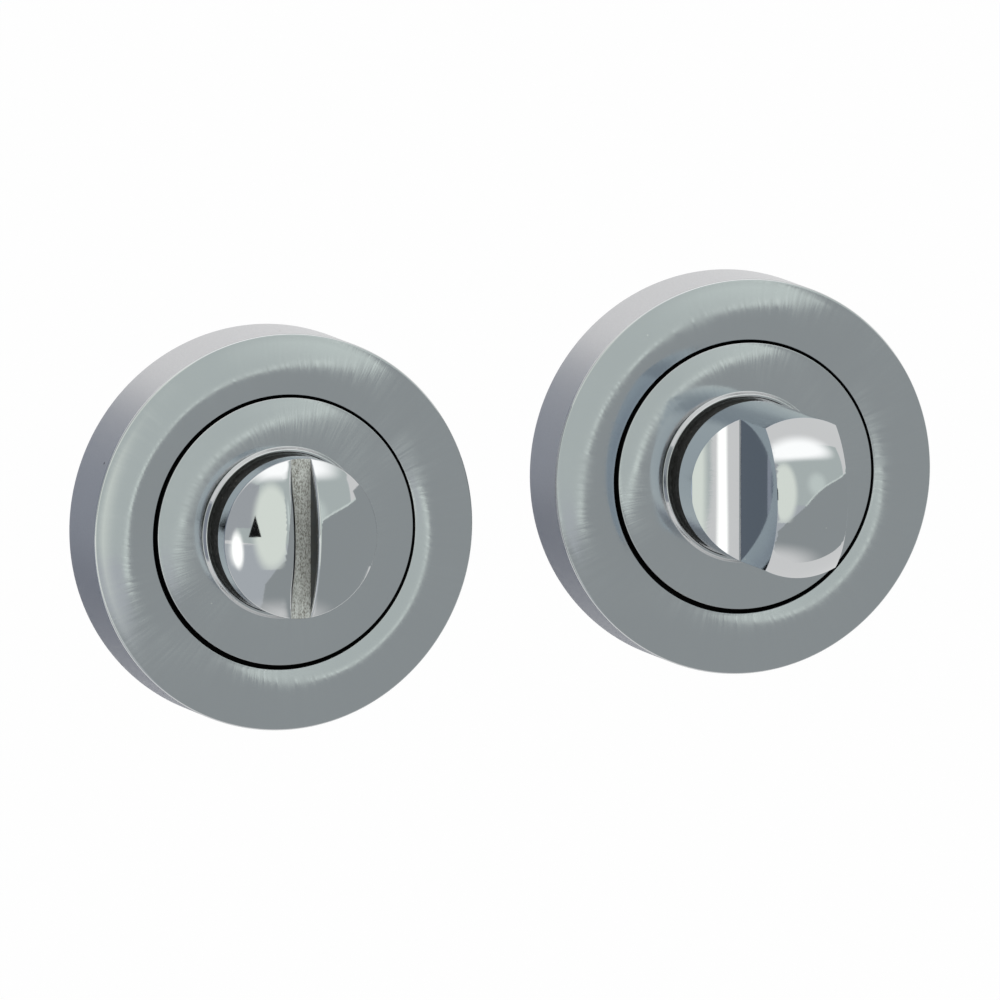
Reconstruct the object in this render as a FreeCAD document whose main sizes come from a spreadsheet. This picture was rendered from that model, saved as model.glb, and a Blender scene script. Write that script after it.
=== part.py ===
import FreeCAD, Part
import math
import os

import Sketcher
from FreeCAD import Rotation, Vector

# A bathroom thumb turn lock, as its two halves come off the door. The inside half has a thumb turn and
# carries the spindle, and the outside half has a domed release with a coin slot. Row frame, in
# millimetres: +Z up, the door's face is the plane Y = 0, both halves face -Y, and the origin is on the
# thumb turn's axis. Each piece is modelled about its own Z axis, which points out of the door.

# Driving sizes
SIZES = {
    # the rose, the same on both halves
    "rose_diameter": "52",
    "rose_depth": "10.6",
    "rose_edge": "0.3",
    "ring_wall": "2.4",
    "ring_lip": "2.45",
    "ring_face": "8",
    "window_gap": "0.35",
    "edge_break": "0.2",
    "thread_clearance": "0.1",
    "lip_clearance": "0.05",
    "shoulder_width": "2.4",
    "plate_thickness": "4",
    "plate_bore": "20.4",
    "fixing_inset": "7",
    "bolt_hole": "4.5",
    "bolt_head": "7.6",
    "peg_diameter": "3",
    "peg_length": "2.6",
    "peg_circle": "29",
    "peg_clearance": "0.1",
    # the low lip round the bush
    "lip_diameter": "21.8",
    "lip_height": "0.45",
    "lip_flare": "0.6",
    "lip_edge": "0.15",
    # the bush
    "flange_diameter": "20.4",
    "flange_height": "3.45",
    "sleeve_diameter": "15",
    "sleeve_clearance": "0.02",
    "seat_clearance": "0.3",
    # both knobs and their stems
    "knob_diameter": "21",
    "knob_gap": "0.05",
    "knob_back_edge": "0.4",
    "stem_diameter": "10",
    "stem_clearance": "0.05",
    "stem_land": "0.7",
    "stem_chamfer": "0.3",
    # the thumb turn's grip
    "grip_barrel": "17.9",
    "grip_dome": "5.6",
    "blade_thickness": "9.7",
    "scoop_start": "5.1",
    "scoop_rise": "3.3",
    "scoop_radius": "17",
    "scoop_crease": "0.5",
    # the release's head
    "head_barrel": "2.8",
    "head_dome": "3.3",
    "slot_width": "2.7",
    "slot_depth": "3.3",
    # the parts that hold the stem
    "stack_gap": "0.05",
    "spring_height": "1",
    "spring_strip": "0.3",
    "washer_width": "3.2",
    "washer_thickness": "0.5",
    "washer_clearance": "0.3",
    "clip_thickness": "1",
    "clip_beam": "1.8",
    "clip_taper": "0.3",
    "clip_mouth": "2.4",
    "clip_lug": "3.2",
    "clip_eye": "1.4",
    "groove_depth": "0.2",
    "groove_clearance": "0.05",
    # the spindle
    "spindle_side": "5",
    "spindle_reach": "60",
    "spindle_grip": "12.5",
    "spindle_chamfer": "0.6",
    "spindle_clearance": "0.05",
    "release_clearance": "0.1",
    "socket_wall": "2",
    "pin_diameter": "2",
    "pin_bore": "1.2",
    "pin_mouth": "0.5",
    "pin_depth": "3",
    "pin_inset": "0.3",
    "pin_clearance": "0.02",
    # where the outside half stands, seen from the front
    "release_across": "63.4",
    "release_down": "4.4",
}

doc = FreeCAD.newDocument("bathroom_lock")
sheet = doc.addObject("Spreadsheet::Sheet", "sizes")
for row, (alias, value) in enumerate(SIZES.items(), start=1):
    sheet.set(f"A{row}", alias)
    sheet.set(f"B{row}", value)
    sheet.setAlias(f"B{row}", alias)
doc.recompute()

# Heights above the door's face
INNER_BACK = "sizes.plate_thickness"
DISC_FACE = "sizes.rose_depth"
KNOB_BACK = f"({DISC_FACE} + sizes.flange_height + sizes.knob_gap)"
SPRING_FOOT = f"({INNER_BACK} - sizes.stack_gap - sizes.spring_height)"
WASHER_FOOT = f"({SPRING_FOOT} - sizes.stack_gap - sizes.washer_thickness)"
CLIP_FOOT = f"({WASHER_FOOT} - sizes.stack_gap - sizes.clip_thickness)"
STEM_END = f"({CLIP_FOOT} - sizes.groove_clearance - sizes.stem_land)"
PIN_HEIGHT = f"({DISC_FACE} - sizes.pin_depth)"
SPINDLE_TOP = f"({PIN_HEIGHT} + sizes.spindle_grip)"

# Radii
RING_BORE = "(sizes.rose_diameter / 2 - sizes.ring_wall)"
PLATE_RADIUS = f"({RING_BORE} - sizes.thread_clearance)"
WINDOW_RADIUS = "(sizes.rose_diameter / 2 - sizes.ring_face)"
DISC_RADIUS = f"({WINDOW_RADIUS} - sizes.window_gap)"
SHOULDER_RADIUS = f"({DISC_RADIUS} + sizes.shoulder_width)"
KNOB_RADIUS = "(sizes.knob_diameter / 2)"
STEM_RADIUS = "(sizes.stem_diameter / 2)"
GROOVE_RADIUS = f"({STEM_RADIUS} - sizes.groove_depth)"
SLEEVE_SEAT = "(sizes.sleeve_diameter / 2 + sizes.sleeve_clearance)"
FLANGE_SEAT = "(sizes.flange_diameter / 2 + sizes.seat_clearance)"
WASHER_BORE = f"({STEM_RADIUS} + sizes.washer_clearance)"
WASHER_RADIUS = f"({WASHER_BORE} + sizes.washer_width)"

# how many times wider a cut is than the sheet that it trims
CUT_MARGIN = "1.2"

# Where each half's axis meets the door's face, as X and Z
TURN = ("0", "0")
RELEASE = ("-sizes.release_across", "-sizes.release_down")

pieces = {}


def number(expression):
    """The value of an expression on the sheet."""
    result = sheet.evalExpression(expression)
    return float(getattr(result, "Value", result))


def seat(piece, half, height, rotation=Rotation(Vector(1, 0, 0), 90)):
    """Puts a piece on a half's axis, with its own origin that far out of the door."""
    piece.Placement.Rotation = rotation
    piece.setExpression("Placement.Base.x", half[0])
    piece.setExpression("Placement.Base.y", f"-({height})")
    piece.setExpression("Placement.Base.z", half[1])
    pieces[piece.Label] = piece


def new_body(label):
    body = doc.addObject("PartDesign::Body", label)
    body.Label = label
    return body


def new_sketch(body, name, role, offset="0"):
    """A sketch on one of the body's own origin planes, moved along its normal."""
    sketch = body.newObject("Sketcher::SketchObject", name)
    plane = next(part for part in body.Origin.OriginFeatures if part.Role == role)
    sketch.AttachmentSupport = (plane, [""])
    sketch.MapMode = "FlatFace"
    sketch.setExpression("AttachmentOffset.Base.z", offset)
    return sketch


def tie(sketch, geometry, end, x, y):
    """Ties a point of the sketch to two expressions, measured from its origin."""
    for kind, axis, expression in (("DistanceX", -2, x), ("DistanceY", -1, y)):
        if expression == "0":
            sketch.addConstraint(Sketcher.Constraint("PointOnObject", geometry, end, axis))
        else:
            constraint = Sketcher.Constraint(kind, -1, 1, geometry, end, number(expression))
            index = sketch.addConstraint(constraint)
            sketch.setExpression(f"Constraints[{index}]", expression)


def size(sketch, kind, geometry, expression):
    """Sets a radius or diameter from an expression."""
    index = sketch.addConstraint(Sketcher.Constraint(kind, geometry, number(expression)))
    sketch.setExpression(f"Constraints[{index}]", expression)


def outline(sketch, corners):
    """A closed outline through corners given as two expressions each. A third one, on a corner, makes
    the edge after it an arc of that radius, with its centre to the left, or to the right after a ">"."""
    spots = [Vector(number(corner[0]), number(corner[1]), 0) for corner in corners]
    starts = []
    ends = []
    for place, corner in enumerate(corners):
        here = spots[place]
        there = spots[(place + 1) % len(spots)]
        if len(corner) == 2:
            edge = sketch.addGeometry(Part.LineSegment(here, there), False)
            starts.append((edge, 1))
            ends.append((edge, 2))
            continue
        right = corner[2].startswith(">")
        radius = corner[2].lstrip(">")
        chord = there - here
        lift = math.sqrt(number(radius) ** 2 - chord.Length**2 / 4)
        side = Vector(-chord.y, chord.x, 0).normalize() * (-lift if right else lift)
        centre = (here + there) / 2 + side
        first, last = (there, here) if right else (here, there)
        angles = [math.atan2(spot.y - centre.y, spot.x - centre.x) for spot in (first, last)]
        circle = Part.Circle(centre, Vector(0, 0, 1), number(radius))
        edge = sketch.addGeometry(Part.ArcOfCircle(circle, *angles), False)
        starts.append((edge, 2 if right else 1))
        ends.append((edge, 1 if right else 2))
        size(sketch, "Radius", edge, radius)
    for place, corner in enumerate(corners):
        sketch.addConstraint(Sketcher.Constraint("Coincident", *ends[place - 1], *starts[place]))
        tie(sketch, *starts[place], corner[0], corner[1])


def circles(sketch, places, diameter):
    """Equal circles, each centred at two expressions."""
    for x, y in places:
        centre = Vector(number(x), number(y), 0)
        edge = sketch.addGeometry(Part.Circle(centre, Vector(0, 0, 1), number(diameter) / 2), False)
        size(sketch, "Diameter", edge, diameter)
        tie(sketch, edge, 3, x, y)


def square(sketch, side):
    half = f"({side}) / 2"
    outline(sketch, [(f"-{half}", f"-{half}"), (half, f"-{half}"), (half, half), (f"-{half}", half)])


def revolve(body, name, corners):
    """Turns a section, given as radius and height, about the body's Z axis."""
    sketch = new_sketch(body, f"{name}_section", "XZ_Plane")
    outline(sketch, corners)
    turned = body.newObject("PartDesign::Revolution", name)
    turned.Profile = (sketch, [""])
    turned.ReferenceAxis = (sketch, ["V_Axis"])
    turned.Angle = 360
    doc.recompute()
    return turned


def pad(body, name, sketch, length):
    raised = body.newObject("PartDesign::Pad", name)
    raised.Profile = (sketch, [""])
    raised.setExpression("Length", length)
    doc.recompute()
    return raised


def pocket(body, name, sketch, length=None, both_ways=False):
    """Cuts below a sketch, through everything unless a length is given, and checks that it cuts."""
    before = body.Tip.Shape.Volume
    cut = body.newObject("PartDesign::Pocket", name)
    cut.Profile = (sketch, [""])
    if both_ways:
        cut.SideType = "Symmetric"
    if length is None:
        cut.Type = "ThroughAll"
    else:
        cut.setExpression("Length", length)
    doc.recompute()
    if cut.Shape.Volume >= before:
        raise RuntimeError(f"{body.Label}: {name} cuts nothing")
    return cut


def edges_where(shape, test):
    """The names of the edges that pass the test, apart from a dome's pole."""
    numbered = enumerate(shape.Edges, start=1)
    return [f"Edge{place}" for place, edge in numbered if not edge.Degenerated and test(edge)]


def break_edges(body, name, kind, amount, test):
    """Fillets or chamfers the edges of the last feature that pass the test."""
    base = body.Tip
    names = edges_where(base.Shape, test)
    if not names:
        raise RuntimeError(f"{body.Label}: {name} finds no edge")
    dressed = body.newObject(f"PartDesign::{kind}", name)
    dressed.Base = (base, names)
    dressed.setExpression("Radius" if kind == "Fillet" else "Size", amount)
    doc.recompute()
    return dressed


def is_circle(radius, height):
    """A test for round edges about the Z axis with that radius and height."""
    radius_now = number(radius)
    height_now = number(height)

    def test(edge):
        curve = edge.Curve
        return (
            isinstance(curve, Part.Circle)
            and math.isclose(curve.Radius, radius_now, abs_tol=1e-4)
            and math.isclose(curve.Center.z, height_now, abs_tol=1e-4)
        )

    return test


# Cover ring: a turned cup with a window. Its wall screws on to the mounting plate, and its lip
# clamps the inner rose.
def cover_ring(label, half):
    body = new_body(label)
    outside = "sizes.rose_diameter / 2"
    lip_back = "(sizes.rose_depth - sizes.ring_lip)"
    revolve(
        body,
        "turning",
        [
            (RING_BORE, "0"),
            (outside, "0"),
            (outside, "sizes.rose_depth"),
            (WINDOW_RADIUS, "sizes.rose_depth"),
            (WINDOW_RADIUS, lip_back),
            (RING_BORE, lip_back),
        ],
    )
    front = is_circle(outside, "sizes.rose_depth")
    break_edges(body, "front_edge", "Chamfer", "sizes.rose_edge", front)
    window = is_circle(WINDOW_RADIUS, "sizes.rose_depth")
    break_edges(body, "window_edge", "Chamfer", "sizes.edge_break", window)
    seat(body, half, "0")


# Mounting plate: a thick round plate screwed flat on the door. Its bore leaves room for the parts on
# the stem, and two of its holes take the inner rose's pegs.
def mounting_plate(label, half):
    body = new_body(label)
    bore = "sizes.plate_bore / 2"
    top = "sizes.plate_thickness"
    revolve(
        body,
        "turning",
        [
            (bore, "0"),
            (PLATE_RADIUS, "0"),
            (PLATE_RADIUS, top),
            (bore, top),
        ],
    )
    bolts = new_sketch(body, "bolt_hole_plan", "XY_Plane", top)
    reach = "(sizes.rose_diameter / 2 - sizes.fixing_inset)"
    circles(bolts, [(reach, "0"), (f"-{reach}", "0")], "sizes.bolt_hole")
    pocket(body, "bolt_holes", bolts)
    radius_now = number("sizes.bolt_hole / 2")
    top_now = number(top)

    def is_mouth(edge):
        curve = edge.Curve
        return (
            isinstance(curve, Part.Circle)
            and math.isclose(curve.Radius, radius_now, abs_tol=1e-4)
            and math.isclose(curve.Center.z, top_now, abs_tol=1e-4)
        )

    sink = "(sizes.bolt_head - sizes.bolt_hole) / 2"
    break_edges(body, "bolt_heads", "Chamfer", sink, is_mouth)
    sketch = new_sketch(body, "peg_hole_plan", "XY_Plane", top)
    circles(sketch, peg_places(), "sizes.peg_diameter + 2 * sizes.peg_clearance")
    pocket(body, "peg_holes", sketch)
    seat(body, half, "0")


def peg_places():
    """The two pegs lie across the axis, halfway between the fixing holes."""
    reach = "sizes.peg_circle / 2 * sqrt(0.5)"
    return [(reach, reach), (f"-{reach}", f"-{reach}")]


# Inner rose: the polished disc in the ring's window. Its shoulder lies under the ring's lip, its bore
# takes the bush, and a low lip round the bore hides the foot of the bush's flange.
def inner_rose(label, half):
    body = new_body(label)
    shoulder = f"({DISC_FACE} - sizes.ring_lip - sizes.lip_clearance - {INNER_BACK})"
    face = f"({DISC_FACE} - {INNER_BACK})"
    rim = f"({face} + sizes.lip_height)"
    revolve(
        body,
        "turning",
        [
            (SLEEVE_SEAT, "0"),
            (SHOULDER_RADIUS, "0"),
            (SHOULDER_RADIUS, shoulder),
            (DISC_RADIUS, shoulder),
            (DISC_RADIUS, face),
            ("sizes.lip_diameter / 2 + sizes.lip_flare", face),
            ("sizes.lip_diameter / 2", rim),
            (FLANGE_SEAT, rim),
            (FLANGE_SEAT, face),
            (SLEEVE_SEAT, face),
        ],
    )
    break_edges(body, "disc_edge", "Chamfer", "sizes.edge_break", is_circle(DISC_RADIUS, face))
    is_rim = is_circle("sizes.lip_diameter / 2", rim)
    break_edges(body, "rim_edge", "Chamfer", "sizes.lip_edge", is_rim)
    sketch = new_sketch(body, "peg_plan", "XY_Plane")
    circles(sketch, peg_places(), "sizes.peg_diameter")
    pegs = pad(body, "pegs", sketch, "sizes.peg_length")
    pegs.Reversed = True
    doc.recompute()
    seat(body, half, INNER_BACK)


# Bush: black nylon, with a tall flange that carries the knob and a sleeve pressed in the inner rose.
def bush(label, half):
    body = new_body(label)
    bore = f"({STEM_RADIUS} + sizes.stem_clearance)"
    foot = f"-({DISC_FACE} - {INNER_BACK} - sizes.stack_gap)"
    revolve(
        body,
        "moulding",
        [
            (bore, foot),
            ("sizes.sleeve_diameter / 2", foot),
            ("sizes.sleeve_diameter / 2", "0"),
            ("sizes.flange_diameter / 2", "0"),
            ("sizes.flange_diameter / 2", "sizes.flange_height"),
            (bore, "sizes.flange_height"),
        ],
    )
    seat(body, half, DISC_FACE)


def stem_outline():
    """The stem's edge, from its end up to the knob's back, with the groove for the circlip."""
    end = f"({STEM_END} - {KNOB_BACK})"
    groove_foot = f"({CLIP_FOOT} - sizes.groove_clearance - {KNOB_BACK})"
    groove_top = f"({CLIP_FOOT} + sizes.clip_thickness + sizes.groove_clearance - {KNOB_BACK})"
    return [
        ("0", end),
        (f"{STEM_RADIUS} - sizes.stem_chamfer", end),
        (STEM_RADIUS, f"{end} + sizes.stem_chamfer"),
        (STEM_RADIUS, groove_foot),
        (GROOVE_RADIUS, groove_foot),
        (GROOVE_RADIUS, groove_top),
        (STEM_RADIUS, groove_top),
        (STEM_RADIUS, "0"),
    ]


def knob_blank(body, barrel, dome):
    """A stem, a round barrel and a domed end, turned in one piece."""
    dome_radius = f"({KNOB_RADIUS}^2 + {dome}^2) / (2 * {dome})"
    corners = stem_outline() + [
        (KNOB_RADIUS, "0"),
        (KNOB_RADIUS, barrel, dome_radius),
        ("0", f"{barrel} + {dome}"),
    ]
    revolve(body, "turning", corners)
    back = is_circle(KNOB_RADIUS, "0")
    break_edges(body, "back_edge", "Chamfer", "sizes.knob_back_edge", back)


def square_socket(body, top, clearance):
    """A square socket up the stem, from its end to the height given."""
    sketch = new_sketch(body, "socket_plan", "XY_Plane", top)
    square(sketch, f"sizes.spindle_side + 2 * {clearance}")
    pocket(body, "socket", sketch)


# Thumb turn: a turned knob with a hollow scooped out of each side, so that a flat blade is left to
# grip.
def thumb_turn(label, half):
    body = new_body(label)
    knob_blank(body, "sizes.grip_barrel", "sizes.grip_dome")
    blade = "(sizes.blade_thickness / 2)"
    crease_height = "(sizes.scoop_start + sizes.scoop_rise)"
    clear = "(sizes.grip_barrel + sizes.grip_dome)"
    sketch = new_sketch(body, "scoop_section", "XZ_Plane")
    outline(
        sketch,
        [
            (KNOB_RADIUS, clear),
            (blade, clear),
            (blade, crease_height, "sizes.scoop_radius"),
            (KNOB_RADIUS, "sizes.scoop_start"),
        ],
    )
    scoop = pocket(body, "scoop", sketch, both_ways=True)
    both = body.newObject("PartDesign::Mirrored", "both_scoops")
    both.Originals = [scoop]
    middle = next(part for part in body.Origin.OriginFeatures if part.Role == "YZ_Plane")
    both.MirrorPlane = (middle, [""])
    body.Tip = both
    doc.recompute()
    if both.Shape.Volume >= scoop.Shape.Volume:
        raise RuntimeError("the second scoop cuts nothing")
    blade_now = number(blade)
    crease_now = number(crease_height)

    def is_crease(edge):
        box = edge.BoundBox
        middle_x = abs(box.Center.x)
        return (
            box.ZLength < 1e-4
            and math.isclose(middle_x, blade_now, abs_tol=1e-4)
            and math.isclose(box.Center.z, crease_now, abs_tol=1e-4)
        )

    break_edges(body, "crease_rounds", "Fillet", "sizes.scoop_crease", is_crease)
    socket_top = f"({SPINDLE_TOP} + sizes.spindle_clearance - {KNOB_BACK})"
    square_socket(body, socket_top, "sizes.spindle_clearance")
    sketch = new_sketch(body, "pin_hole_plan", "YZ_Plane")
    height = f"({PIN_HEIGHT} - {KNOB_BACK})"
    circles(sketch, [("0", height)], "sizes.pin_diameter + 2 * sizes.pin_clearance")
    pocket(body, "pin_hole", sketch, both_ways=True)
    seat(body, half, KNOB_BACK)


# Release: a round domed head with a slot for a coin, and a square socket for the far end of the
# spindle.
def release_turn(label, half):
    body = new_body(label)
    knob_blank(body, "sizes.head_barrel", "sizes.head_dome")
    top = "(sizes.head_barrel + sizes.head_dome)"
    sketch = new_sketch(body, "slot_plan", "XY_Plane", top)
    side = "(sizes.slot_width / 2)"
    run = KNOB_RADIUS
    outline(sketch, [(f"-{side}", f"-{run}"), (side, f"-{run}"), (side, run), (f"-{side}", run)])
    pocket(body, "slot", sketch, "sizes.slot_depth")
    square_socket(body, f"({top} - sizes.slot_depth - sizes.socket_wall)", "sizes.release_clearance")
    seat(body, half, KNOB_BACK)


# Plain washer between the spring washer and the circlip
def plain_washer(label, half):
    body = new_body(label)
    revolve(
        body,
        "blank",
        [
            (WASHER_BORE, "0"),
            (WASHER_RADIUS, "0"),
            (WASHER_RADIUS, "sizes.washer_thickness"),
            (WASHER_BORE, "sizes.washer_thickness"),
        ],
    )
    seat(body, half, WASHER_FOOT)


# Spring washer: a thin ring bowed across one diameter, which takes up the knob's play
def spring_washer(label, half):
    body = new_body(label)
    reach = WASHER_RADIUS
    strip = "sizes.spring_strip"
    bow = f"(sizes.spring_height - {strip})"
    bend = f"({reach}^2 + {bow}^2) / (2 * {bow})"
    section = new_sketch(body, "bent_section", "XZ_Plane")
    outline(
        section,
        [(f"-{reach}", "0", f">{bend}"), (reach, "0"), (reach, strip, bend), (f"-{reach}", strip)],
    )
    sheet_metal = pad(body, "bent_strip", section, f"2 * {WASHER_RADIUS}")
    sheet_metal.SideType = "Symmetric"
    doc.recompute()
    ring = new_sketch(body, "ring_plan", "XY_Plane", "sizes.spring_height")
    square(ring, f"{CUT_MARGIN} * 2 * {WASHER_RADIUS}")
    circles(ring, [("0", "0")], f"2 * {WASHER_RADIUS}")
    circles(ring, [("0", "0")], f"2 * {WASHER_BORE}")
    pocket(body, "ring_cut", ring)
    seat(body, half, SPRING_FOOT)


# Circlip: an external retaining ring, thinner towards its mouth, with an eye in each lug
def circlip(label, half):
    body = new_body(label)
    outside = f"({GROOVE_RADIUS} + sizes.clip_beam - sizes.clip_taper)"
    blank = new_sketch(body, "blank_plan", "XY_Plane")
    circles(blank, [("0", "sizes.clip_taper")], f"2 * {outside}")
    pad(body, "blank", blank, "sizes.clip_thickness")
    lug_side = "(sizes.clip_mouth / 2 + sizes.clip_lug / 2)"
    lug_height = f"-({GROOVE_RADIUS} + sizes.clip_lug / 2)"
    lug_places = [(lug_side, lug_height), (f"-{lug_side}", lug_height)]
    lugs = new_sketch(body, "lug_plan", "XY_Plane")
    circles(lugs, lug_places, "sizes.clip_lug")
    pad(body, "lugs", lugs, "sizes.clip_thickness")
    bore = new_sketch(body, "bore_plan", "XY_Plane", "sizes.clip_thickness")
    circles(bore, [("0", "0")], f"2 * {GROOVE_RADIUS}")
    pocket(body, "bore", bore)
    mouth = new_sketch(body, "mouth_plan", "XY_Plane", "sizes.clip_thickness")
    side = "(sizes.clip_mouth / 2)"
    reach = f"-({GROOVE_RADIUS} + sizes.clip_lug)"
    outline(mouth, [(f"-{side}", reach), (side, reach), (side, "0"), (f"-{side}", "0")])
    pocket(body, "mouth", mouth)
    eyes = new_sketch(body, "eye_plan", "XY_Plane", "sizes.clip_thickness")
    circles(eyes, lug_places, "sizes.clip_eye")
    pocket(body, "eyes", eyes)
    seat(body, half, CLIP_FOOT)


# Spindle: square steel bar, chamfered at both ends, with a cross hole for its pin
def spindle(label, half):
    body = new_body(label)
    section = new_sketch(body, "bar_section", "XY_Plane")
    square(section, "sizes.spindle_side")
    length = f"(sizes.spindle_reach + {SPINDLE_TOP})"
    pad(body, "bar", section, length)
    length_now = number(length)

    def is_end(edge):
        box = edge.BoundBox
        return box.ZLength < 1e-4 and (abs(box.ZMin) < 1e-4 or abs(box.ZMax - length_now) < 1e-4)

    break_edges(body, "end_chamfers", "Chamfer", "sizes.spindle_chamfer", is_end)
    hole = new_sketch(body, "pin_hole_plan", "YZ_Plane")
    height = f"(sizes.spindle_reach + {PIN_HEIGHT})"
    circles(hole, [("0", height)], "sizes.pin_diameter + 2 * sizes.pin_clearance")
    pocket(body, "pin_hole", hole, both_ways=True)
    seat(body, half, "-sizes.spindle_reach")


# Spindle pin: a slotted spring pin across the stem
def spindle_pin(label, half):
    body = new_body(label)
    length = "(sizes.stem_diameter - 2 * sizes.pin_inset)"
    section = new_sketch(body, "tube_section", "XY_Plane", f"-{length} / 2")
    circles(section, [("0", "0")], "sizes.pin_diameter")
    circles(section, [("0", "0")], "sizes.pin_bore")
    pad(body, "tube", section, length)
    mouth = new_sketch(body, "mouth_plan", "XY_Plane", f"{length} / 2")
    side = "(sizes.pin_mouth / 2)"
    outline(
        mouth,
        [(f"-{side}", "0"), (side, "0"), (side, "sizes.pin_diameter"), (f"-{side}", "sizes.pin_diameter")],
    )
    pocket(body, "mouth", mouth)
    seat(body, half, PIN_HEIGHT, Rotation(Vector(0, 1, 0), 90))


for side_name, half in (("turn", TURN), ("release", RELEASE)):
    cover_ring(f"{side_name}_cover_ring", half)
    inner_rose(f"{side_name}_inner_rose", half)
    mounting_plate(f"{side_name}_mounting_plate", half)
    bush(f"{side_name}_bush", half)
    spring_washer(f"{side_name}_spring_washer", half)
    plain_washer(f"{side_name}_washer", half)
    circlip(f"{side_name}_circlip", half)
thumb_turn("thumb_turn", TURN)
release_turn("release_turn", RELEASE)
spindle("spindle", TURN)
spindle_pin("spindle_pin", TURN)
doc.recompute()

for item in doc.Objects:
    if {"Invalid", "Error"} & set(item.State):
        raise RuntimeError(f"{item.Label} is {item.State}")
os.makedirs("parts", exist_ok=True)
for label, piece in pieces.items():
    if piece.Shape.isNull() or not piece.Shape.isValid():
        raise RuntimeError(f"{label} has no valid shape")
    if len(piece.Shape.Solids) != 1:
        raise RuntimeError(f"{label} has {len(piece.Shape.Solids)} solids")
    piece.Shape.exportStep(f"parts/{label}.step")
print(f"{len(pieces)} pieces")
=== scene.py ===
import math

import bpy
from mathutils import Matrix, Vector


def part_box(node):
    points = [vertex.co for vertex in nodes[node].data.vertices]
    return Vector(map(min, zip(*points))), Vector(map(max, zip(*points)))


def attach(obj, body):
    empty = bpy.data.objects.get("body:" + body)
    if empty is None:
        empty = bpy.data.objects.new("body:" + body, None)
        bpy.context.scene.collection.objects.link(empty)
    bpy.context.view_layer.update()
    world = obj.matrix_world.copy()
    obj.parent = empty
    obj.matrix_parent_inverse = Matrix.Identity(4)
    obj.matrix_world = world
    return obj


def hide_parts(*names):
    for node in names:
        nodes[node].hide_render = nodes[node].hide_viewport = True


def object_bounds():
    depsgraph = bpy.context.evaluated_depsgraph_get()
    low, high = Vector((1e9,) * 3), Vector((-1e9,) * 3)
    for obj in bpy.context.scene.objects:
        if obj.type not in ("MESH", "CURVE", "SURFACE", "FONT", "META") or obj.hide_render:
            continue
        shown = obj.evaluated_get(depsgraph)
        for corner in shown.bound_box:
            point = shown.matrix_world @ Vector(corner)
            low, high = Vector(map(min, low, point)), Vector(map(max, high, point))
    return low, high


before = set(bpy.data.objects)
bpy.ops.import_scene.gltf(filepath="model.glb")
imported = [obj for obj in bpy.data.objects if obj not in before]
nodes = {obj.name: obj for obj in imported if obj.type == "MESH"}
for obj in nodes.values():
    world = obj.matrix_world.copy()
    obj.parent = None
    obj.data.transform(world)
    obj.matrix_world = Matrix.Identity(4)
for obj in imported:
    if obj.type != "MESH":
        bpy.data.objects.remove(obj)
cad_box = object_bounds()
MM = 0.001

# The lock's two halves stand side by side on the door's face, the plane Y = 0: the thumb turn at the
# right and the coin release at the left. The axis of each points out of the door, towards the
# camera, and is kept here as its X and Z.
turn_low, turn_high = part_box("turn_cover_ring")
release_low, release_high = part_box("release_cover_ring")
TURN = (turn_low + turn_high) / 2 * Vector((1, 0, 1))
RELEASE = (release_low + release_high) / 2 * Vector((1, 0, 1))
ROSE_DEPTH = -turn_low.y

# The camera: a long lens from the front left and a little above. The point between the two faces
# stands a little to the right of the picture's middle and below it.
camera_turn = math.radians(-19.45)
camera_rise = math.radians(7.8)
camera_lens = 1200
picture_width = 130.05 * MM
aim_right = 1.98 * MM
aim_above = 0.6 * MM
back = Vector(
    (
        math.sin(camera_turn) * math.cos(camera_rise),
        -math.cos(camera_turn) * math.cos(camera_rise),
        math.sin(camera_rise),
    )
)
right = Vector((math.cos(camera_turn), math.sin(camera_turn), 0))
above = back.cross(right)
between = (TURN + RELEASE) / 2 - Vector((0, ROSE_DEPTH, 0))
aim = between - right * aim_right + above * aim_above
camera_data = bpy.data.cameras.new("camera")
camera_data.lens = camera_lens
camera = bpy.data.objects.new("camera", camera_data)
camera.location = aim + back * (picture_width * camera_lens / camera_data.sensor_width)
camera.rotation_euler = (-back).to_track_quat("-Z", "Y").to_euler()
bpy.context.scene.collection.objects.link(camera)
bpy.context.scene.camera = camera

# The floor: a plain pale board well below the lock. The camera and the polished metal see it nearly
# white, and it keeps the lock's soft shadow. Colours are shown as they are written.
floor_drop = 300 * MM
floor_height = cad_box[0].z - floor_drop
floor_size = 60
floor_colour = (0.82, 0.82, 0.82)
floor_white = 0.985
bpy.ops.object.select_all(action="DESELECT")
bpy.ops.mesh.primitive_plane_add(size=floor_size, location=(0, 0, floor_height))
floor = bpy.context.active_object
floor.name = "floor"
bpy.context.scene.view_settings.view_transform = "Standard"


def adder(tree):
    """A function that adds a node to a tree, with its settings."""

    def add(kind, **settings):
        node = tree.nodes.new(kind)
        for name, value in settings.items():
            setattr(node, name, value)
        return node

    return add


def new_paint(name, metallic=0):
    """A material, its node tree, a function that adds nodes to it, and its shader."""
    paint = bpy.data.materials.new(name)
    paint.use_nodes = True
    tree = paint.node_tree
    shader = tree.nodes["Principled BSDF"]
    shader.inputs["Metallic"].default_value = metallic
    return paint, tree, adder(tree), shader


def sees_background(tree, add):
    """One for a ray from the camera, or from metal or glass."""
    path = add("ShaderNodeLightPath")
    first = add("ShaderNodeMath", operation="MAXIMUM")
    tree.links.new(path.outputs["Is Camera Ray"], first.inputs[0])
    tree.links.new(path.outputs["Is Glossy Ray"], first.inputs[1])
    both = add("ShaderNodeMath", operation="MAXIMUM")
    tree.links.new(first.outputs[0], both.inputs[0])
    tree.links.new(path.outputs["Is Transmission Ray"], both.inputs[1])
    return both.outputs[0]


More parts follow.
